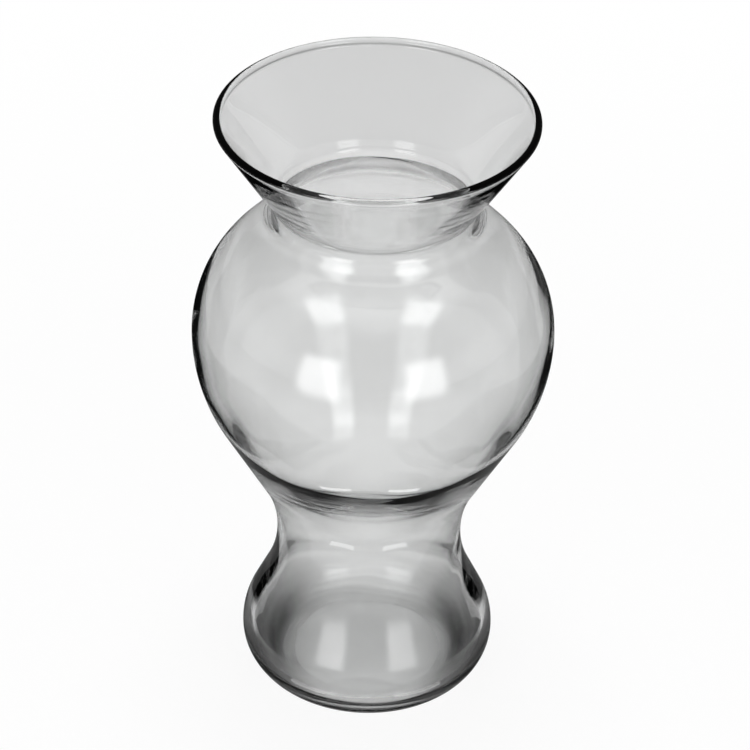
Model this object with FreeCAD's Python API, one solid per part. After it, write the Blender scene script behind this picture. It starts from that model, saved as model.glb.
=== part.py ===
"""Hyacinth forcing vase: one piece of clear blown glass, turned about +Z.

The origin is the middle of the resting plane. The outer and the inner wall are each a chain of rounds,
joined by the straight lines that touch them: base, foot, waist, globe, neck and lip. A round is a bulge or
a hollow, and the angle at which the glass faces, above the horizontal, says where one round hands over.
"""
import FreeCAD
import Part
import math
import os

os.makedirs("parts", exist_ok=True)

# Heights, stacked from the resting plane to the top of the lip
foot_belly_height = 14.5
waist_above_foot = 37.0
globe_above_waist = 73.4
neck_above_globe = 44.6
lip_above_neck = 30.5

# Outer radii of the bulges and of the narrow places
foot_radius = 39.6
waist_radius = 28.8
globe_radius = 55.2
neck_radius = 30.6
rim_radius = 48.5

# Roundness of each bulge and hollow, seen from the side
foot_over_round = 20.5
globe_under_round = 56.8
globe_over_round = 42.2
neck_round = 3.8
neck_inside_round = 11.4

# Glass thickness
foot_wall = 3.4
waist_wall = 2.0
globe_wall = 1.7
neck_wall = 1.8
cone_wall = 1.6
base_thickness = 4.5

# Lip: a fire-polished bead, and the small round where it swells out of the inner wall
lip_bead_radius = 1.2
lip_crease_round = 1.2

# Underside: a narrow flat ring round a hollow that is pushed up into the base
resting_ring_width = 2.5
resting_toe_round = 1.6
push_up_depth = 1.0

# Rounds that stay in proportion to the room they have
waist_under_share = 0.90
waist_over_share = 0.74
waist_over_inside_share = 0.98
neck_share = 0.95
foot_under_share = 1.04
heel_share = 0.70
floor_corner_share = 0.70

# Below this two points are one
same_point = 1e-5


class Round:
    """One round of a wall: its centre, its radius, and whether it is a bulge (+1) or a hollow (-1)."""

    def __init__(self, centre_r, centre_z, radius, side):
        self.r = centre_r
        self.z = centre_z
        self.radius = radius
        self.reach = side * radius

    def point(self, facing):
        """The point of the round where the wall faces this angle."""
        return FreeCAD.Vector(
            self.r + self.reach * math.cos(facing), 0, self.z + self.reach * math.sin(facing)
        )


def bulge(radius, height, roundness):
    """A round whose widest point has this radius and height."""
    return Round(radius - roundness, height, roundness, 1)


def hollow(radius, height, roundness):
    """A round whose narrowest point has this radius and height."""
    return Round(radius + roundness, height, roundness, -1)


def touching_hollow(narrow_radius, wide, height):
    """Radius of the hollow that just touches a bulge which lies this far above or below it."""
    widest = wide.r + wide.radius
    offset = narrow_radius - wide.r
    return (offset ** 2 + height ** 2 - wide.radius ** 2) / (2 * (widest - narrow_radius))


def handover(first, second):
    """Facing of the line that touches two rounds, the second following the first along the wall."""
    run = second.r - first.r
    rise = second.z - first.z
    apart = math.hypot(run, rise)
    if apart < same_point:
        return 0
    lean = (first.reach - second.reach) / apart
    turn = math.atan2(rise, run) - math.acos(max(-1, min(1, lean)))
    return math.remainder(turn, math.tau)


def chain(rounds, first_facing, last_facing):
    """Edges along a chain of rounds: an arc on each, and a line wherever two of them stand apart."""
    facings = [first_facing]
    facings += [handover(*pair) for pair in zip(rounds, rounds[1:])]
    facings.append(last_facing)
    edges = []
    here = rounds[0].point(first_facing)
    for current, start, end in zip(rounds, facings, facings[1:]):
        if here.distanceToPoint(current.point(start)) > same_point:
            edges.append(Part.LineSegment(here, current.point(start)).toShape())
            here = current.point(start)
        if here.distanceToPoint(current.point(end)) > same_point:
            edges.append(Part.Arc(here, current.point((start + end) / 2), current.point(end)).toShape())
            here = current.point(end)
    return edges


foot_z = foot_belly_height
waist_z = foot_z + waist_above_foot
globe_z = waist_z + globe_above_waist
neck_z = globe_z + neck_above_globe
vase_height = neck_z + lip_above_neck
down = -math.pi / 2
up = math.pi / 2

lip_bead = bulge(rim_radius, vase_height - lip_bead_radius, lip_bead_radius)


def body_rounds(over_share, round_at_neck, in_foot, in_waist, in_globe, in_neck):
    """Rounds from the foot's upper half to the neck, each moved in by the glass thickness there."""
    foot = bulge(foot_radius - in_foot, foot_z, foot_over_round - in_foot)
    globe_under = bulge(globe_radius - in_globe, globe_z, globe_under_round - in_globe)
    globe_over = bulge(globe_radius - in_globe, globe_z, globe_over_round - in_globe)
    waist_r = waist_radius - in_waist
    under = waist_under_share * touching_hollow(waist_r, foot, waist_above_foot)
    over = over_share * touching_hollow(waist_r, globe_under, globe_above_waist)
    neck_r = neck_radius - in_neck
    neck_limit = neck_share * touching_hollow(neck_r, globe_over, neck_above_globe)
    return [
        foot,
        hollow(waist_r, waist_z, under),
        hollow(waist_r, waist_z, over),
        globe_under,
        globe_over,
        hollow(neck_r, neck_z, min(round_at_neck, neck_limit)),
    ]


def base_rounds():
    """Rounds from the axis out under the base and round the heel to the foot's widest place."""
    under = foot_under_share * foot_z
    heel = heel_share * foot_z
    under_round = bulge(foot_radius, foot_z, under)
    heel_r = under_round.r + math.sqrt((under - heel) ** 2 - (foot_z - heel) ** 2)
    toe_r = heel_r - resting_ring_width
    dome = (toe_r ** 2 + push_up_depth ** 2 - 2 * resting_toe_round * push_up_depth) / (2 * push_up_depth)
    return [
        Round(0, push_up_depth - dome, dome, -1),
        Round(toe_r, resting_toe_round, resting_toe_round, 1),
        Round(heel_r, heel, heel, 1),
        under_round,
    ]


def floor_corner(foot_inside):
    """Round between the level inner floor and the inner wall of the foot."""
    floor_z = push_up_depth + base_thickness
    corner = floor_corner_share * (foot_inside.radius + foot_inside.z - floor_z) / 2
    rise = floor_z + corner - foot_inside.z
    run = math.sqrt((foot_inside.radius - corner) ** 2 - rise ** 2)
    return Round(foot_inside.r + run, floor_z + corner, corner, 1)


def lip_crease(neck_inside):
    """Small round that eases the straight inner wall of the cone into the bead of the lip."""
    inset = cone_wall - lip_bead_radius
    facing = handover(neck_inside, Round(lip_bead.r, lip_bead.z, inset, -1))
    off = inset + lip_crease_round
    back = math.sqrt((lip_bead_radius + lip_crease_round) ** 2 - off ** 2)
    return Round(
        lip_bead.r - off * math.cos(facing) + back * math.sin(facing),
        lip_bead.z - off * math.sin(facing) - back * math.cos(facing),
        lip_crease_round,
        1,
    )


def glass_vessel():
    """The whole vase: the glass between its outer and its inner wall."""
    outside = body_rounds(waist_over_share, neck_round, 0, 0, 0, 0)
    outer = chain(base_rounds() + outside + [lip_bead], down, up)
    inside = body_rounds(
        waist_over_inside_share, neck_inside_round, foot_wall, waist_wall, globe_wall, neck_wall
    )
    bead_inside = Round(lip_bead.r, lip_bead.z, lip_bead_radius, -1)
    inner = chain([floor_corner(inside[0])] + inside + [lip_crease(inside[-1]), bead_inside], down, down)
    floor_edge = inner[0].firstVertex().Point
    floor_middle = FreeCAD.Vector(0, 0, floor_edge.z)
    underside_middle = FreeCAD.Vector(0, 0, push_up_depth)
    floor_edges = [
        Part.LineSegment(floor_edge, floor_middle).toShape(),
        Part.LineSegment(floor_middle, underside_middle).toShape(),
    ]
    section = Part.Face(Part.Wire(Part.__sortEdges__(outer + inner + floor_edges)))
    return section.revolve(FreeCAD.Vector(0, 0, 0), FreeCAD.Vector(0, 0, 1), 360)


vessel = glass_vessel()
vessel.exportStep("parts/glass_vessel.step")
print(f"glass_vessel: valid {vessel.isValid()}, {len(vessel.Faces)} faces, {vessel.Volume / 1000:.1f} cm3")
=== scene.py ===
"""Looks of the hyacinth forcing vase: clear blown glass on a pale table, between two tall soft lights."""

import math

import bpy
import numpy as np
from bpy.props import FloatProperty, FloatVectorProperty, IntProperty, PointerProperty
from mathutils import Matrix, Vector


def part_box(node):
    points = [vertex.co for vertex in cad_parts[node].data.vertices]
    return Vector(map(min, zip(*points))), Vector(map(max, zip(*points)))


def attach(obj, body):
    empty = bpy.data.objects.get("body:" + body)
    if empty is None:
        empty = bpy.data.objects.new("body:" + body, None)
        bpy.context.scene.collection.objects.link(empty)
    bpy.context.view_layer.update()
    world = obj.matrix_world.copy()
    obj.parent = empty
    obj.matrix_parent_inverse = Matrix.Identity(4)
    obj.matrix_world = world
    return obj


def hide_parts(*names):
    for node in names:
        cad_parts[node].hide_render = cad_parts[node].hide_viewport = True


bl_info = {
    "name": "Hyacinth forcing vase",
    "version": (1, 0, 0),
    "blender": (4, 5, 0),
    "location": "3D View > Sidebar > Vase",
    "description": "Builds a blown-glass bulb vase from its profile, with its glass and a small photo table",
    "category": "Add Mesh",
}

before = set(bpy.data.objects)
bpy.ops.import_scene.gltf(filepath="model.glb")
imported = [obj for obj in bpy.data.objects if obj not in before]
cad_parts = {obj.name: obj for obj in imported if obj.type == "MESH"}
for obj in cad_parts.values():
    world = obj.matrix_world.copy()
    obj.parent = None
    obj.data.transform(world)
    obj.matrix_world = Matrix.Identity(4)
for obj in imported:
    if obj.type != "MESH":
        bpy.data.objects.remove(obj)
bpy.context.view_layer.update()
NODE = "glass_vessel"
NODE_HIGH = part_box(NODE)[1]
DOWN = -math.pi / 2
UP = math.pi / 2

# How finely a round is sampled, and what its turning counts beside its length when points are spread
FINE_STEPS = 400
TURNING_SHARE = 0.8

# How the divisions are shared between the outer and the inner wall, and the rings across the floor
OUTER_SHARE, INNER_SHARE, ALL_SHARES = 11, 9, 20
FLOOR_RINGS = 8

# Ripple of the inner wall: turns round the axis, rises along the wall, start and share of each wave
WAVES = (
    (1, 3.1, 0.4, 0.30),
    (2, 5.3, 1.9, 0.26),
    (3, 8.7, 4.1, 0.18),
    (5, 13.1, 2.6, 0.14),
    (8, 19.7, 5.2, 0.12),
)

# Where the ripple starts and ends along the inner wall, and how steeply it sets in
RIPPLE_FROM, RIPPLE_TO, RIPPLE_STEEPNESS = 0.12, 0.95, 12

# How far cards and strips lie above the table top
ON_TABLE = 0.0005

# The middle of a lamp's face, from 0 to 1 across it
MIDDLE = 0.5

# Light whose count of mirrorings is over this was mirrored at least once
BEFORE_FIRST_MIRROR = 0.5

# A lamp whose direction rises or falls by more than this shines straight up or down
STRAIGHT = 0.99

# The camera's frame in pixels, its sensor in millimetres and what it sees from and to, in metres
FRAME_PIXELS = 750
SENSOR_WIDTH = 36.0
SEEN_FROM, SEEN_TO = 0.01, 20.0


def length(name, description, default):
    """A size that the user may change, in metres."""
    return FloatProperty(
        name=name, description=description, default=default, min=0.0, unit="LENGTH", precision=5
    )


def offset(name, description, default):
    """A place that the user may change, in metres either way."""
    return FloatProperty(name=name, description=description, default=default, unit="LENGTH")


def share(name, description, default):
    """A proportion that the user may change."""
    return FloatProperty(name=name, description=description, default=default, min=0.0, soft_max=1.0)


def amount(name, description, default):
    """A plain number that the user may change."""
    return FloatProperty(name=name, description=description, default=default, min=0.0)


def degrees(name, description, default):
    """An angle that the user may change, given here in degrees."""
    return FloatProperty(
        name=name, description=description, default=math.radians(default), subtype="ANGLE"
    )


def colour(name, description, default):
    """A colour that the user may change."""
    return FloatVectorProperty(
        name=name, description=description, default=default, min=0.0, max=1.0, subtype="COLOR"
    )


class VaseShape(bpy.types.PropertyGroup):
    """Sizes of the glass body."""

    vase_height: length("Height", "From the table to the top of the lip", NODE_HIGH.z)
    foot_height: length("Foot height", "Height of the foot's widest place", 0.0145)
    waist_height: length("Waist height", "Height of the narrow waist", 0.0515)
    globe_height: length("Globe height", "Height of the globe's widest place", 0.1249)
    neck_height: length("Neck height", "Height of the narrow neck", 0.1695)
    foot_radius: length("Foot radius", "Outer radius of the foot", 0.0396)
    waist_radius: length("Waist radius", "Outer radius of the waist", 0.0288)
    globe_radius: length("Globe radius", "Outer radius of the globe", NODE_HIGH.x)
    neck_radius: length("Neck radius", "Outer radius of the neck", 0.0306)
    rim_radius: length("Rim radius", "Outer radius of the lip", 0.0485)
    foot_over_round: length("Foot roundness", "Roundness of the foot's upper half", 0.0205)
    globe_under_round: length("Globe under", "Roundness of the globe's lower half", 0.0568)
    globe_over_round: length("Globe over", "Roundness of the globe's upper half", 0.0422)
    neck_round: length("Neck roundness", "Roundness of the neck's hollow", 0.0038)
    neck_inside_round: length("Neck roundness, inside", "The same for the inner wall", 0.0114)
    foot_wall: length("Foot wall", "Glass thickness at the foot", 0.0034)
    waist_wall: length("Waist wall", "Glass thickness at the waist", 0.0020)
    globe_wall: length("Globe wall", "Glass thickness at the globe", 0.0017)
    neck_wall: length("Neck wall", "Glass thickness at the neck", 0.0018)
    cone_wall: length("Cone wall", "Glass thickness of the flared mouth", 0.0016)
    base_thickness: length("Base thickness", "Glass between the floor and the underside", 0.0045)
    lip_bead: length("Lip bead", "Radius of the fire-polished bead", 0.0012)
    lip_crease: length("Lip crease", "Round between the bead and the inner wall", 0.0012)
    ring_width: length("Ring width", "Width of the ring that the vase stands on", 0.0025)
    ring_toe: length("Ring toe", "Round at the inside of that ring", 0.0016)
    push_up: length("Push-up", "Depth of the hollow under the base", 0.0010)
    waist_under_share: share("Waist under", "Waist hollow towards the foot, of the largest that fits", 0.90)
    waist_over_share: share("Waist over", "Waist hollow towards the globe, of the largest that fits", 0.74)
    waist_over_inside_share: share("Waist over, inside", "The same for the inner wall", 0.98)
    foot_under_share: share("Foot under", "Roundness of the foot's lower half, of its height", 1.04)
    heel_share: share("Heel", "Roundness of the heel, of the foot's height", 0.70)
    corner_share: share("Floor corner", "Round between floor and wall, of the largest that fits", 0.70)
    ripple_depth: length("Ripple", "How far the inner wall strays from a true round", 0.0002)
    around: IntProperty(name="Facets around", description="Divisions round the axis", default=300, min=12)
    along: IntProperty(name="Facets along", description="Divisions along both walls", default=300, min=40)


class VaseGlass(bpy.types.PropertyGroup):
    """Finish of the glass."""

    tint: colour("Tint", "Colour of the clear glass", (0.985, 0.99, 0.988))
    index: amount("Refraction", "Refractive index of soda-lime glass", 1.5)
    smoke: share("Smoke colour", "How pale the smoke in the glass is", 0.5)
    density: amount("Smoke", "How fast the glass darkens with depth, per metre", 42.0)
    pass_light: share("Light passed", "Share of the lamps' light that passes each surface", 0.40)
    knurl_bars: amount("Knurl bars", "Number of fine bars on the resting ring", 320.0)
    knurl_inside: length("Knurl inside", "Radius where the bars start", 0.0236)
    knurl_outside: length("Knurl outside", "Radius where the bars end", 0.0276)
    knurl_top: length("Knurl top", "Height above the table up to which the bars reach", 0.0006)
    knurl_depth: length("Knurl depth", "Depth of the bars", 0.00002)
    knurl_frost: share("Knurl frost", "Roughness of that ring", 0.05)


class PhotoTable(bpy.types.PropertyGroup):
    """The table, the lights and the camera."""

    table_colour: colour("Table", "Colour of the table top", (0.85, 0.85, 0.85))
    table_roughness: share("Table roughness", "How matt the table top is", 0.7)
    table_half: length("Table reach", "From the axis to the table's edge", 4.0)
    white_share: share("White share", "How much plain white the camera sees near the vase", 0.92)
    shade_near: length("Shade near", "Where the shade on the table starts to fade", 0.08)
    shade_far: length("Shade far", "Where the table is plain white to the camera", 0.50)
    # Painted light and shade on the table, seen only in or through the glass: a darker painted reflection of
    # the table, a painted glow under the base that stands in for gathered light, and a ring of painted shade
    # beside the foot.
    mirrored_table: share("Mirrored table", "How pale the table is where the glass mirrors it", 0.15)
    under_glow: share("Gathered light", "Light that the base gathers on the table under it", 0.27)
    under_radius: length("Gathered light reach", "How far from the axis that light reaches", 0.031)
    under_core: share("Gathered light core", "Share of that reach over which it is full", 0.5)
    under_stretch: share("Gathered light stretch", "Its width over its depth from front to back", 0.38)
    ring_shade: share("Ring shade", "How pale the glass shows the table beside the foot", 0.15)
    ring_from: length("Ring from", "Where that shade is full, inside", 0.033)
    ring_to: length("Ring to", "Where that shade is full, outside", 0.062)
    ring_fade: length("Ring fade", "How far it takes the shade to fade, on either side", 0.012)
    card_inner: length("Card inside", "From the middle to the near edge of a black card", 0.08)
    card_outer: length("Card outside", "From the middle to the far edge of a black card", 0.33)
    card_front: offset("Card front", "Front edge of a black card, behind the axis if above 0", -0.15)
    card_back: length("Card back", "How far behind the axis a black card ends", 0.36)
    card_colour: share("Card colour", "How pale a black card is", 0.005)
    # The strips are painted glints: glowing wedges on the table, no lamps, seen only in reflections.
    strip_radiance: amount("Strip brightness", "Brightness of the lit strips on the table", 2.5)
    strip_near: length("Strip near", "From the axis to the near end of a lit strip", 0.050)
    strip_far: length("Strip far", "From the axis to the far end of a lit strip", 0.056)
    strip_spread: degrees("Strip spread", "Half the angle that a lit strip takes up", 15)
    panel_radiance: amount("Panel brightness", "Brightness of the tall soft lights", 4.0)
    panel_distance: length("Panel distance", "From the axis to a tall soft light", 0.62)
    panel_width: length("Panel width", "Width of a tall soft light", 0.36)
    panel_height: length("Panel height", "Height of a tall soft light", 0.45)
    panel_low: length("Panel foot", "Height of its lower edge above the table", 0.0)
    panel_edge: share("Panel edge", "Share of a panel over which its edge fades", 0.28)
    panel_azimuth: degrees("Panel azimuth", "Angle of each soft light from the camera", 32)
    overhead_radiance: amount("Overhead brightness", "Brightness of the soft light overhead", 13.0)
    overhead_size: length("Overhead size", "Side of the soft light overhead", 0.4)
    overhead_height: length("Overhead height", "Height of the soft light overhead", 1.1)
    overhead_x: offset("Overhead x", "Place of the overhead light, to the right", 0.0)
    overhead_y: offset("Overhead y", "Place of the overhead light, to the back", 0.12)
    ambient: share("Room light", "Even light from the room", 0.33)
    horizon: share("Horizon", "Brightness near the horizon, seen through the glass", 0.85)
    dark: share("Ceiling", "Brightness of the dark ceiling, seen in the glass", 0.04)
    zenith: amount("Zenith", "Brightness straight overhead, seen through the glass", 2.5)
    horizon_top: degrees("Horizon top", "Where the bright horizon starts to fade", 12)
    ceiling_from: degrees("Ceiling from", "Where the ceiling is dark", 28)
    zenith_from: degrees("Zenith from", "Where the glow overhead starts", 42)
    zenith_full: degrees("Zenith full", "Where the glow overhead is full", 62)
    camera_distance: length("Camera distance", "Level distance from the axis to the camera", 1.0)
    camera_height: length("Camera height", "Height of the camera above the table", 0.7830)
    camera_pitch: degrees("Pitch", "How far the camera looks down", 34.013)
    camera_roll: degrees("Roll", "How far the camera leans", 1.247)
    camera_yaw: degrees("Yaw", "How far the camera looks aside", 0.051)
    focal_pixels: amount("Focal length", "In pixels of the camera's frame", 3931.5)
    bounces: IntProperty(
        name="Light turns", description="How often light may turn in the glass", default=16, min=4
    )


def bulge(radius, height, roundness):
    """Centre, height and signed roundness of a round whose widest point has this radius and height."""
    return np.array([radius - roundness, height, roundness])


def hollow(radius, height, roundness):
    """The same for a round whose narrowest point has this radius and height. Its roundness is negative."""
    return np.array([radius + roundness, height, -roundness])


def touching_hollow(narrow_radius, wide, height):
    """Radius of the hollow that just touches a bulge this far above or below: two touching circles, whose
    centres lie as far apart as the two radii together."""
    offset_r = narrow_radius - wide[0]
    room = offset_r ** 2 + height ** 2 - wide[2] ** 2
    return room / (2 * (wide[0] + wide[2] - narrow_radius))


def handover(first, second):
    """Facing of the line that touches two rounds: the direction between their centres, less the angle whose
    cosine is the difference of the signed radii over the distance."""
    run, rise = second[:2] - first[:2]
    lean = (first[2] - second[2]) / math.hypot(run, rise)
    return math.remainder(math.atan2(rise, run) - math.acos(max(-1.0, min(1.0, lean))), math.tau)


def wall(rounds, first_facing, last_facing, count):
    """Radius, height and facing along a chain of rounds. A point is the centre plus the signed radius times
    the facing direction. Samples are spread by length plus turning, so tight rounds get their share."""
    facings = [first_facing, *(handover(*pair) for pair in zip(rounds, rounds[1:])), last_facing]
    fine = np.linspace(0.0, 1.0, FINE_STEPS)
    path = []
    for (centre_r, centre_z, reach), start, end in zip(rounds, facings, facings[1:]):
        facing = start + (end - start) * fine
        radius = centre_r + reach * np.cos(facing)
        path.append(np.stack([radius, centre_z + reach * np.sin(facing), facing], axis=1))
    path = np.concatenate(path)
    step = np.hypot(*np.diff(path[:, :2], axis=0).T)
    turn = np.abs(np.diff(path[:, 2]))
    travel = np.concatenate([[0.0], np.cumsum(step / step.sum() + TURNING_SHARE * turn / turn.sum())])
    wanted = np.linspace(0.0, travel[-1], count)
    return np.stack([np.interp(wanted, travel, column) for column in path.T], axis=1)


def body_rounds(s, over_share, round_at_neck, in_foot, in_waist, in_globe, in_neck):
    """Rounds from the foot's upper half to the neck, each moved in by the glass thickness there."""
    foot = bulge(s.foot_radius - in_foot, s.foot_height, s.foot_over_round - in_foot)
    under = bulge(s.globe_radius - in_globe, s.globe_height, s.globe_under_round - in_globe)
    over = bulge(s.globe_radius - in_globe, s.globe_height, s.globe_over_round - in_globe)
    waist_r = s.waist_radius - in_waist
    to_foot = s.waist_under_share * touching_hollow(waist_r, foot, s.waist_height - s.foot_height)
    to_globe = over_share * touching_hollow(waist_r, under, s.globe_height - s.waist_height)
    return [
        foot,
        hollow(waist_r, s.waist_height, to_foot),
        hollow(waist_r, s.waist_height, to_globe),
        under,
        over,
        hollow(s.neck_radius - in_neck, s.neck_height, round_at_neck),
    ]


def base_rounds(s):
    """Push-up, ring toe, heel and the foot's lower half, each just touching the next."""
    under = s.foot_under_share * s.foot_height
    heel = s.heel_share * s.foot_height
    lower = bulge(s.foot_radius, s.foot_height, under)
    heel_r = lower[0] + math.sqrt((under - heel) ** 2 - (s.foot_height - heel) ** 2)
    toe_r = heel_r - s.ring_width
    dome = (toe_r ** 2 + s.push_up ** 2 - 2 * s.ring_toe * s.push_up) / (2 * s.push_up)
    return [
        np.array([0.0, s.push_up - dome, -dome]),
        np.array([toe_r, s.ring_toe, s.ring_toe]),
        np.array([heel_r, heel, heel]),
        lower,
    ]


def floor_corner(s, foot_inside):
    """Round between the level inner floor and the inner wall of the foot."""
    floor_z = s.push_up + s.base_thickness
    corner = s.corner_share * (foot_inside[2] + foot_inside[1] - floor_z) / 2
    rise = floor_z + corner - foot_inside[1]
    run = math.sqrt((foot_inside[2] - corner) ** 2 - rise ** 2)
    return np.array([foot_inside[0] + run, floor_z + corner, corner])


def lip_rounds(s, neck_inside):
    """The bead seen from inside, and the small round where it swells out of the cone's straight wall."""
    bead_r, bead_z = s.rim_radius - s.lip_bead, s.vase_height - s.lip_bead
    inset = s.cone_wall - s.lip_bead
    facing = handover(neck_inside, np.array([bead_r, bead_z, -inset]))
    off = inset + s.lip_crease
    back = math.sqrt((s.lip_bead + s.lip_crease) ** 2 - off ** 2)
    crease_r = bead_r - off * math.cos(facing) + back * math.sin(facing)
    crease_z = bead_z - off * math.sin(facing) - back * math.cos(facing)
    return [np.array([crease_r, crease_z, s.lip_crease]), np.array([bead_r, bead_z, -s.lip_bead])]


def glass_section(s):
    """Radius and height round the whole glass section: from the axis under the base, up the outside, over
    the lip and down the inside to the axis again. With it, how much of the ripple each point gets."""
    bead = bulge(s.rim_radius, s.vase_height - s.lip_bead, s.lip_bead)
    outside = body_rounds(s, s.waist_over_share, s.neck_round, 0, 0, 0, 0)
    outer = wall([*base_rounds(s), *outside, bead], DOWN, UP, s.along * OUTER_SHARE // ALL_SHARES)
    walls = (s.foot_wall, s.waist_wall, s.globe_wall, s.neck_wall)
    inside = body_rounds(s, s.waist_over_inside_share, s.neck_inside_round, *walls)
    chain = [floor_corner(s, inside[0]), *inside, *lip_rounds(s, inside[-1])]
    inner = wall(chain, DOWN, DOWN, s.along * INNER_SHARE // ALL_SHARES)[::-1]
    rings = np.linspace(inner[-1, 0], 0.0, FLOOR_RINGS)[1:]
    floor = np.stack([rings, np.full(rings.shape, inner[-1, 1])], axis=1)
    section = np.concatenate([outer[:, :2], inner[1:, :2], floor])
    blown = np.zeros(len(section))
    along = np.arange(len(inner) - 1) / (len(inner) - 2)
    set_in = np.minimum(along - RIPPLE_FROM, RIPPLE_TO - along) * RIPPLE_STEEPNESS
    blown[len(outer):len(outer) + len(along)] = np.clip(set_in, 0, 1)
    return section, blown


def ripple(angle, travel, depth):
    """Unevenness of blown glass: slow waves round the axis and along the wall, added up, up to depth."""
    waves = (
        weight * np.sin(turns * angle + rises * travel + start) for turns, rises, start, weight in WAVES
    )
    return depth * sum(waves)


def turned_mesh(name, section, around, uneven, depth):
    """Closed body of revolution. The section's points are carried round the axis on a grid of angle by
    point, x = r cos a, y = r sin a, and the two ends on the axis are single points. Where uneven is 1 the
    radius r also shrinks and grows by the ripple."""
    middle = section[1:-1]
    angle = np.linspace(0.0, math.tau, around, endpoint=False)
    travel = np.linspace(0.0, 2.0 * math.tau, len(middle))[:, None]
    radius = middle[:, :1] - uneven[1:-1, None] * ripple(angle[None, :], travel, depth)
    rings = np.empty((len(middle), around, 3))
    rings[..., 0] = radius * np.cos(angle)
    rings[..., 1] = radius * np.sin(angle)
    rings[..., 2] = middle[:, 1:]
    ends = np.array([[0.0, 0.0, section[0, 1]], [0.0, 0.0, section[-1, 1]]])
    points = np.concatenate([rings.reshape(-1, 3), ends])
    column = np.arange(around)
    following = (column + 1) % around
    row = np.arange(len(middle) - 1)[:, None] * around
    above = row + around
    quads = np.stack([row + column, row + following, above + following, above + column], axis=-1)
    quads = quads.reshape(-1, 4)
    first_pole, last_pole = len(points) - 2, len(points) - 1
    last_row = (len(middle) - 1) * around
    first_fan = np.stack([np.full(around, first_pole), following, column], axis=1)
    last_fan = np.stack([np.full(around, last_pole), last_row + column, last_row + following], axis=1)
    mesh = bpy.data.meshes.new(name)
    mesh.vertices.add(len(points))
    mesh.vertices.foreach_set("co", points.ravel())
    corners = np.concatenate([quads.ravel(), first_fan.ravel(), last_fan.ravel()])
    sizes = np.concatenate([np.full(len(quads), 4), np.full(2 * around, 3)])
    mesh.loops.add(len(corners))
    mesh.loops.foreach_set("vertex_index", corners)
    mesh.polygons.add(len(sizes))
    mesh.polygons.foreach_set("loop_start", np.concatenate([[0], np.cumsum(sizes)[:-1]]))
    mesh.polygons.foreach_set("use_smooth", np.ones(len(sizes), bool))
    mesh.update(calc_edges=True)
    mesh.validate()
    return mesh


def place(mesh):
    """Puts a mesh in the scene as an object at the origin."""
    piece = bpy.data.objects.new(mesh.name, mesh)
    bpy.context.scene.collection.objects.link(piece)
    return piece


def feed(tree, socket, value):
    """Links another node's output to a socket, or sets it to a plain value."""
    if isinstance(value, bpy.types.NodeSocket):
        tree.links.new(value, socket)
    else:
        socket.default_value = value


def calculate(tree, operation, *values, clamp=False):
    """Output of a Math node. Each value is a number or another node's output."""
    node = tree.nodes.new("ShaderNodeMath")
    node.operation = operation
    node.use_clamp = clamp
    for socket, value in zip(node.inputs, values):
        feed(tree, socket, value)
    return node.outputs[0]


def calculate_vector(tree, operation, *values):
    """Outputs of a Vector Math node. Each value is three numbers or another node's output."""
    node = tree.nodes.new("ShaderNodeVectorMath")
    node.operation = operation
    for socket, value in zip(node.inputs, values):
        feed(tree, socket, value)
    return node.outputs


def split(tree, vector):
    """The x, y and z of a vector."""
    node = tree.nodes.new("ShaderNodeSeparateXYZ")
    feed(tree, node.inputs[0], vector)
    return node.outputs["X"], node.outputs["Y"], node.outputs["Z"]


def smooth_step(tree, value, start, end, low, high):
    """A value that goes smoothly from low to high while another goes from start to end."""
    node = tree.nodes.new("ShaderNodeMapRange")
    node.interpolation_type = "SMOOTHSTEP"
    names = ("Value", "From Min", "From Max", "To Min", "To Max")
    for name, given in zip(names, (value, start, end, low, high)):
        feed(tree, node.inputs[name], given)
    return node.outputs["Result"]


def blend(tree, factor, first, second):
    """A value that is the first where the factor is 0 and the second where it is 1."""
    node = tree.nodes.new("ShaderNodeMix")
    for name, given in zip(("Factor", "A", "B"), (factor, first, second)):
        feed(tree, node.inputs[name], given)
    return node.outputs["Result"]


def blend_colour(tree, way, factor, first, second):
    """Two colours blended in this way, as far as the factor says."""
    node = tree.nodes.new("ShaderNodeMix")
    node.data_type = "RGBA"
    node.blend_type = way
    used = [socket for socket in node.inputs if socket.enabled]
    for socket, given in zip(used, (factor, first, second)):
        feed(tree, socket, given)
    return next(socket for socket in node.outputs if socket.enabled)


def mix_shaders(tree, factor, first, second):
    """A shader that is the first where the factor is 0 and the second where it is 1."""
    node = tree.nodes.new("ShaderNodeMixShader")
    for socket, given in zip(node.inputs, (factor, first, second)):
        feed(tree, socket, given)
    return node.outputs[0]


def emission(tree, strength):
    """A white glow of this strength."""
    node = tree.nodes.new("ShaderNodeEmission")
    node.inputs["Strength"].default_value = strength
    return node.outputs[0]


def transparent(tree, passed):
    """A clear surface that lets this share of the light through."""
    node = tree.nodes.new("ShaderNodeBsdfTransparent")
    node.inputs["Color"].default_value = grey(passed)
    return node.outputs[0]


def grey(value):
    """A grey with full alpha."""
    return (value, value, value, 1.0)


def new_material(name):
    """A new material and its node tree."""
    material = bpy.data.materials.new(name)
    material.use_nodes = True
    return material, material.node_tree


def surface(tree):
    """The socket that a material's surface goes into."""
    return tree.nodes["Material Output"].inputs["Surface"]


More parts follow.
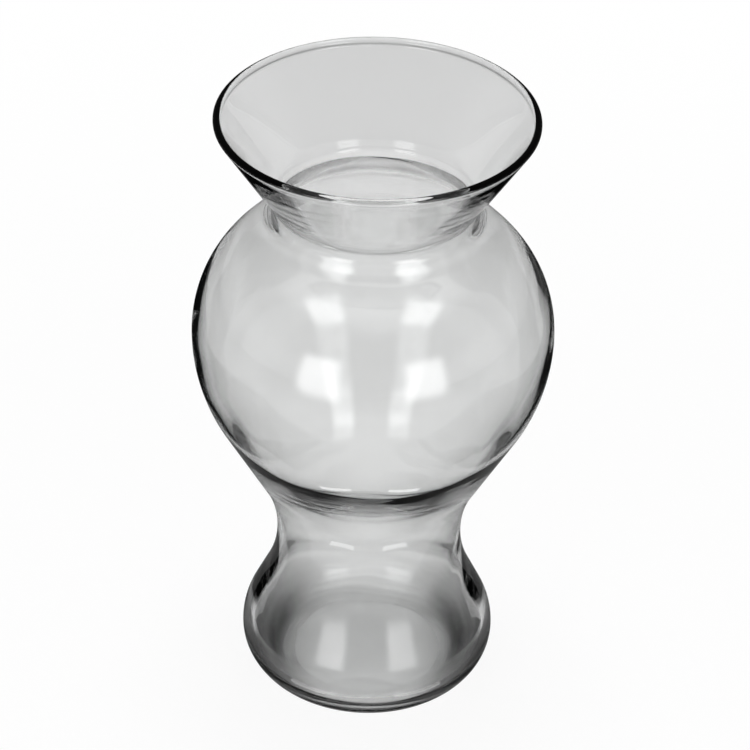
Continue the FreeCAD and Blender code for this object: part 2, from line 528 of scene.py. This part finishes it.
def knurl_group():
    """Node group: height of the fine upright bars on the ring that the vase stands on. The bars are a sine
    of the angle round the axis, kept to a band of radius and to the lowest fraction of a millimetre."""
    group = bpy.data.node_groups.new("resting_knurl", "ShaderNodeTree")
    for name in ("Bars", "Inside", "Outside", "Top"):
        group.interface.new_socket(name, in_out="INPUT", socket_type="NodeSocketFloat")
    for name in ("Height", "Mask"):
        group.interface.new_socket(name, in_out="OUTPUT", socket_type="NodeSocketFloat")
    given = group.nodes.new("NodeGroupInput")
    result = group.nodes.new("NodeGroupOutput")
    point = group.nodes.new("ShaderNodeTexCoord")
    x, y, z = split(group, point.outputs["Object"])
    angle = calculate(group, "ARCTAN2", y, x)
    bars = calculate(group, "SINE", calculate(group, "MULTIPLY", angle, given.outputs["Bars"]))
    square = calculate(group, "ADD", calculate(group, "POWER", x, 2.0), calculate(group, "POWER", y, 2.0))
    radius = calculate(group, "SQRT", square)
    inside = calculate(group, "GREATER_THAN", radius, given.outputs["Inside"])
    outside = calculate(group, "LESS_THAN", radius, given.outputs["Outside"])
    low = calculate(group, "LESS_THAN", z, given.outputs["Top"])
    mask = calculate(group, "MULTIPLY", calculate(group, "MULTIPLY", inside, outside), low)
    feed(group, result.inputs["Height"], calculate(group, "MULTIPLY", bars, mask))
    feed(group, result.inputs["Mask"], mask)
    return group


def resting_knurl(tree, g):
    """The knurl group placed in a material, with this glass's own bars."""
    knurl = tree.nodes.new("ShaderNodeGroup")
    knurl.node_tree = knurl_group()
    knurl.inputs["Bars"].default_value = g.knurl_bars
    knurl.inputs["Inside"].default_value = g.knurl_inside
    knurl.inputs["Outside"].default_value = g.knurl_outside
    knurl.inputs["Top"].default_value = g.knurl_top
    return knurl.outputs


def clear_glass(g):
    """Clear blown soda-lime glass, a little smoky in depth. Lamps reach the table through it."""
    material, tree = new_material("clear_glass")
    glass = tree.nodes["Principled BSDF"]
    glass.inputs["Base Color"].default_value = (*g.tint, 1.0)
    glass.inputs["IOR"].default_value = g.index
    glass.inputs["Transmission Weight"].default_value = 1.0
    knurl = resting_knurl(tree, g)
    bump = tree.nodes.new("ShaderNodeBump")
    bump.inputs["Distance"].default_value = g.knurl_depth
    feed(tree, bump.inputs["Height"], knurl["Height"])
    feed(tree, glass.inputs["Normal"], bump.outputs["Normal"])
    feed(tree, glass.inputs["Roughness"], calculate(tree, "MULTIPLY", knurl["Mask"], g.knurl_frost))
    path = tree.nodes.new("ShaderNodeLightPath")
    clear = transparent(tree, g.pass_light)
    feed(tree, surface(tree), mix_shaders(tree, path.outputs["Is Shadow Ray"], glass.outputs[0], clear))
    smoke = tree.nodes.new("ShaderNodeVolumeAbsorption")
    smoke.inputs["Color"].default_value = grey(g.smoke)
    smoke.inputs["Density"].default_value = g.density
    tree.links.new(smoke.outputs[0], tree.nodes["Material Output"].inputs["Volume"])
    return material


class VASE_OT_glass_body(bpy.types.Operator):
    """Builds the blown-glass body from its section and gives it its glass"""

    bl_idname = "vase.glass_body"
    bl_label = "Glass body"

    def execute(self, context):
        shape = context.scene.vase_shape
        section, blown = glass_section(shape)
        piece = place(turned_mesh("blown_glass_body", section, shape.around, blown, shape.ripple_depth))
        piece.data.materials.append(clear_glass(context.scene.vase_glass))
        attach(piece, "root")
        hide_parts(NODE)
        return {"FINISHED"}


def flat_piece(name, corners, height, material):
    """A level piece with four corners at this height."""
    mesh = bpy.data.meshes.new(name)
    mesh.from_pydata([(x, y, height) for x, y in corners], [], [(0, 1, 2, 3)])
    mesh.materials.append(material)
    return place(mesh)


def painted_shade_beside_foot(tree, point, away, t):
    """Painted shade on the table, seen only through the glass: a factor that is 1 but for a ring round the
    foot, where it falls to the ring's shade at the left and right, by the square of the sideways part of the
    direction."""
    inner = smooth_step(tree, away, t.ring_from - t.ring_fade, t.ring_from, 1.0, t.ring_shade)
    outer = smooth_step(tree, away, t.ring_to, t.ring_to + t.ring_fade, 0.0, 1.0 - t.ring_shade)
    sideways = split(tree, calculate_vector(tree, "NORMALIZE", point)["Vector"])[0]
    return blend(tree, calculate(tree, "POWER", sideways, 2.0), 1.0, calculate(tree, "ADD", inner, outer))


def painted_glow_under_base(tree, point, t):
    """Painted light on the table under the base, a glow seen only through the glass in place of light that
    the base would gather: full in the middle and none at its reach, and longer from front to back than
    across."""
    squeezed = calculate_vector(tree, "MULTIPLY", point, (1.0, t.under_stretch, 1.0))["Vector"]
    away = calculate_vector(tree, "LENGTH", squeezed)["Value"]
    return smooth_step(tree, away, t.under_radius * t.under_core, t.under_radius, t.under_glow, 0.0)


def table_white(t):
    """The pale table top's material. The camera sees its white, with the vase's shadow kept near the vase.
    In the glass's reflections it is painted a darker grey, and seen through the glass it gets painted shade
    beside the foot and a painted glow under the base."""
    material, tree = new_material("table_white")
    shader = tree.nodes["Principled BSDF"]
    shader.inputs["Roughness"].default_value = t.table_roughness
    shader.inputs["Specular IOR Level"].default_value = 0.0
    path = tree.nodes.new("ShaderNodeLightPath").outputs
    through = path["Is Transmission Ray"]
    point = tree.nodes.new("ShaderNodeTexCoord").outputs["Object"]
    away = calculate_vector(tree, "LENGTH", point)["Value"]
    # Painted reflection: the glass mirrors the table in a darker grey than its own colour.
    mirrored = calculate(tree, "SUBTRACT", path["Is Glossy Ray"], through, clamp=True)
    plain = blend_colour(tree, "MIX", mirrored, (*t.table_colour, 1.0), grey(t.mirrored_table))
    # Painted shade beside the foot, seen only through the glass.
    shade = painted_shade_beside_foot(tree, point, away, t)
    feed(tree, shader.inputs["Base Color"], blend_colour(tree, "MULTIPLY", through, plain, shade))
    # Painted glow under the base, seen only through the glass.
    lit = calculate(tree, "MULTIPLY", through, painted_glow_under_base(tree, point, t))
    shader.inputs["Emission Color"].default_value = grey(1.0)
    feed(tree, shader.inputs["Emission Strength"], lit)
    unshaded = smooth_step(tree, away, t.shade_near, t.shade_far, t.white_share, 1.0)
    white = calculate(tree, "MULTIPLY", path["Is Camera Ray"], unshaded)
    feed(tree, surface(tree), mix_shaders(tree, white, shader.outputs[0], emission(tree, 1.0)))
    return material


def table_top(t):
    """The pale table top, a level square."""
    half = t.table_half
    corners = [(-half, -half), (half, -half), (half, half), (-half, half)]
    return flat_piece("table_top", corners, 0.0, table_white(t))


def card_black(name, t):
    """Material of a black card. Only light that the glass has mirrored sees it, and the rest passes."""
    material, tree = new_material(name)
    shader = tree.nodes["Principled BSDF"]
    shader.inputs["Base Color"].default_value = grey(t.card_colour)
    shader.inputs["Specular IOR Level"].default_value = 0.0
    depth = tree.nodes.new("ShaderNodeLightPath").outputs["Glossy Depth"]
    mirrored = calculate(tree, "GREATER_THAN", depth, BEFORE_FIRST_MIRROR)
    feed(tree, surface(tree), mix_shaders(tree, mirrored, transparent(tree, 1.0), shader.outputs[0]))
    return material


def black_card(name, t, side):
    """A black card flat on the table beside the vase, which draws the edges of the glass dark."""
    near, far = side * t.card_inner, side * t.card_outer
    corners = [(near, t.card_front), (far, t.card_front), (far, t.card_back), (near, t.card_back)]
    card = flat_piece(name, corners, ON_TABLE, card_black(name, t))
    card.visible_camera = card.visible_diffuse = card.visible_shadow = False
    return card


def painted_glint_strip(name, t, azimuth):
    """A painted glint: a glowing flat wedge on the table between two distances and two angles, towards a
    tall soft light, that stands in for the streak of light which that light would lay there. It is no lamp,
    and only what mirrors sees it."""
    ends = [(t.strip_near, -1), (t.strip_far, -1), (t.strip_far, 1), (t.strip_near, 1)]
    turned = [(away, azimuth + side * t.strip_spread) for away, side in ends]
    corners = [(away * math.sin(angle), -away * math.cos(angle)) for away, angle in turned]
    material, tree = new_material(name)
    feed(tree, surface(tree), emission(tree, t.strip_radiance))
    strip = flat_piece(name, corners, ON_TABLE, material)
    strip.visible_camera = strip.visible_diffuse = False
    strip.visible_shadow = strip.visible_transmission = False
    return strip


def soft_light(name, width, depth, radiance, place_at, towards):
    """A rectangular soft light of this radiance that shines along one direction."""
    lamp = bpy.data.lights.new(name, "AREA")
    lamp.shape = "RECTANGLE"
    lamp.size, lamp.size_y = width, depth
    lamp.energy = radiance * math.pi * width * depth
    light = bpy.data.objects.new(name, lamp)
    if abs(towards.z) < STRAIGHT:
        side = towards.cross((0.0, 0.0, 1.0)).normalized()
    else:
        side = Vector((1.0, 0.0, 0.0))
    turn = Matrix((side, side.cross(towards), -towards)).transposed()
    light.matrix_world = Matrix.Translation(place_at) @ turn.to_4x4()
    light.visible_camera = False
    bpy.context.scene.collection.objects.link(light)
    return light


def soften(lamp, edge):
    """Lets a rectangular lamp's brightness fall off smoothly towards its edges, over this share of it."""
    lamp.use_nodes = True
    tree = lamp.node_tree
    face = tree.nodes.new("ShaderNodeNewGeometry")
    falls = []
    for across in split(tree, face.outputs["Parametric"])[:2]:
        off = calculate(tree, "ABSOLUTE", calculate(tree, "SUBTRACT", across, MIDDLE))
        falls.append(smooth_step(tree, off, MIDDLE - edge, MIDDLE, 1.0, 0.0))
    feed(tree, tree.nodes["Emission"].inputs["Strength"], calculate(tree, "MULTIPLY", *falls))


def soft_panel(name, t, azimuth):
    """A soft light that stands on the camera's side of the table and faces the axis."""
    towards = Vector((-math.sin(azimuth), math.cos(azimuth), 0.0))
    middle = Vector((0.0, 0.0, t.panel_low + t.panel_height / 2)) - towards * t.panel_distance
    panel = soft_light(name, t.panel_width, t.panel_height, t.panel_radiance, middle, towards)
    soften(panel.data, t.panel_edge)
    return panel


def room_light(t):
    """White to the camera and an even glow on matt things. What mirrors sees a dark room. What is seen
    through the glass has a bright horizon, a dark ceiling above it and a glow straight overhead."""
    world = bpy.data.worlds.new("photo_room")
    bpy.context.scene.world = world
    world.use_nodes = True
    tree = world.node_tree
    background = tree.nodes["Background"]
    background.inputs["Color"].default_value = grey(1.0)
    direction = tree.nodes.new("ShaderNodeTexCoord")
    rise = split(tree, direction.outputs["Generated"])[2]
    ceiling = smooth_step(
        tree, rise, math.sin(t.horizon_top), math.sin(t.ceiling_from), t.horizon, t.dark
    )
    zenith = smooth_step(tree, rise, math.sin(t.zenith_from), math.sin(t.zenith_full), 0.0, t.zenith)
    path = tree.nodes.new("ShaderNodeLightPath").outputs
    mirrored = blend(tree, path["Is Glossy Ray"], t.ambient, t.dark)
    sky = calculate(tree, "ADD", ceiling, zenith)
    glow = blend(tree, path["Is Transmission Ray"], mirrored, sky)
    feed(tree, background.inputs["Strength"], blend(tree, path["Is Camera Ray"], glow, 1.0))
    return world


def photo_camera(t):
    """The camera: from its level distance and height it looks down, with a slight lean."""
    data = bpy.data.cameras.new("photo_camera")
    data.sensor_width = SENSOR_WIDTH
    data.lens = t.focal_pixels / FRAME_PIXELS * SENSOR_WIDTH
    data.clip_start, data.clip_end = SEEN_FROM, SEEN_TO
    camera = bpy.data.objects.new("photo_camera", data)
    yaw, pitch, roll = t.camera_yaw, t.camera_pitch, t.camera_roll
    level = math.cos(pitch)
    forward = Vector((math.sin(yaw) * level, math.cos(yaw) * level, -math.sin(pitch)))
    right = Vector((math.cos(yaw), -math.sin(yaw), 0.0))
    above = right.cross(forward)
    leaned_right = right * math.cos(roll) + above * math.sin(roll)
    leaned_above = above * math.cos(roll) - right * math.sin(roll)
    turn = Matrix((leaned_right, leaned_above, -forward)).transposed()
    camera.matrix_world = Matrix.Translation((0.0, -t.camera_distance, t.camera_height)) @ turn.to_4x4()
    bpy.context.scene.collection.objects.link(camera)
    bpy.context.scene.camera = camera
    return camera


class VASE_OT_photo_table(bpy.types.Operator):
    """Sets the pale table with its cards and strips, the soft lights, the room and the camera"""

    bl_idname = "vase.photo_table"
    bl_label = "Photo table"

    def execute(self, context):
        t = context.scene.vase_table
        table_top(t)
        black_card("left_card", t, -1)
        black_card("right_card", t, 1)
        painted_glint_strip("left_painted_glint", t, -t.panel_azimuth)
        painted_glint_strip("right_painted_glint", t, t.panel_azimuth)
        above = Vector((t.overhead_x, t.overhead_y, t.overhead_height))
        size, down = t.overhead_size, Vector((0.0, 0.0, -1.0))
        overhead = soft_light("overhead", size, size, t.overhead_radiance, above, down)
        overhead.visible_glossy = overhead.visible_transmission = False
        soft_panel("left_panel", t, -t.panel_azimuth)
        soft_panel("right_panel", t, t.panel_azimuth)
        room_light(t)
        photo_camera(t)
        cycles = context.scene.cycles
        cycles.max_bounces = cycles.glossy_bounces = cycles.transmission_bounces = t.bounces
        context.scene.view_settings.view_transform = "Standard"
        return {"FINISHED"}


class VASE_PT_sidebar(bpy.types.Panel):
    """Lists the vase's operators and sizes"""

    bl_idname = "VASE_PT_sidebar"
    bl_label = "Hyacinth forcing vase"
    bl_space_type = "VIEW_3D"
    bl_region_type = "UI"
    bl_category = "Vase"

    def draw(self, context):
        for operator in OPERATORS:
            self.layout.operator(operator.bl_idname)
        for group in (context.scene.vase_shape, context.scene.vase_glass, context.scene.vase_table):
            column = self.layout.column(align=True)
            for name in type(group).__annotations__:
                column.prop(group, name)


OPERATORS = (VASE_OT_glass_body, VASE_OT_photo_table)
GROUPS = {"vase_shape": VaseShape, "vase_glass": VaseGlass, "vase_table": PhotoTable}


def register():
    """Registers the sizes, the operators and the panel."""
    for group in GROUPS.values():
        bpy.utils.register_class(group)
    for name, group in GROUPS.items():
        setattr(bpy.types.Scene, name, PointerProperty(type=group))
    for operator in OPERATORS:
        bpy.utils.register_class(operator)
    bpy.utils.register_class(VASE_PT_sidebar)


def unregister():
    """Takes them away again, the last one first."""
    bpy.utils.unregister_class(VASE_PT_sidebar)
    for operator in reversed(OPERATORS):
        bpy.utils.unregister_class(operator)
    for name in GROUPS:
        delattr(bpy.types.Scene, name)
    for group in reversed(GROUPS.values()):
        bpy.utils.unregister_class(group)


def main():
    """Builds the vase and its table."""
    register()
    bpy.ops.vase.glass_body()
    bpy.ops.vase.photo_table()


if __name__ == "__main__":
    main()
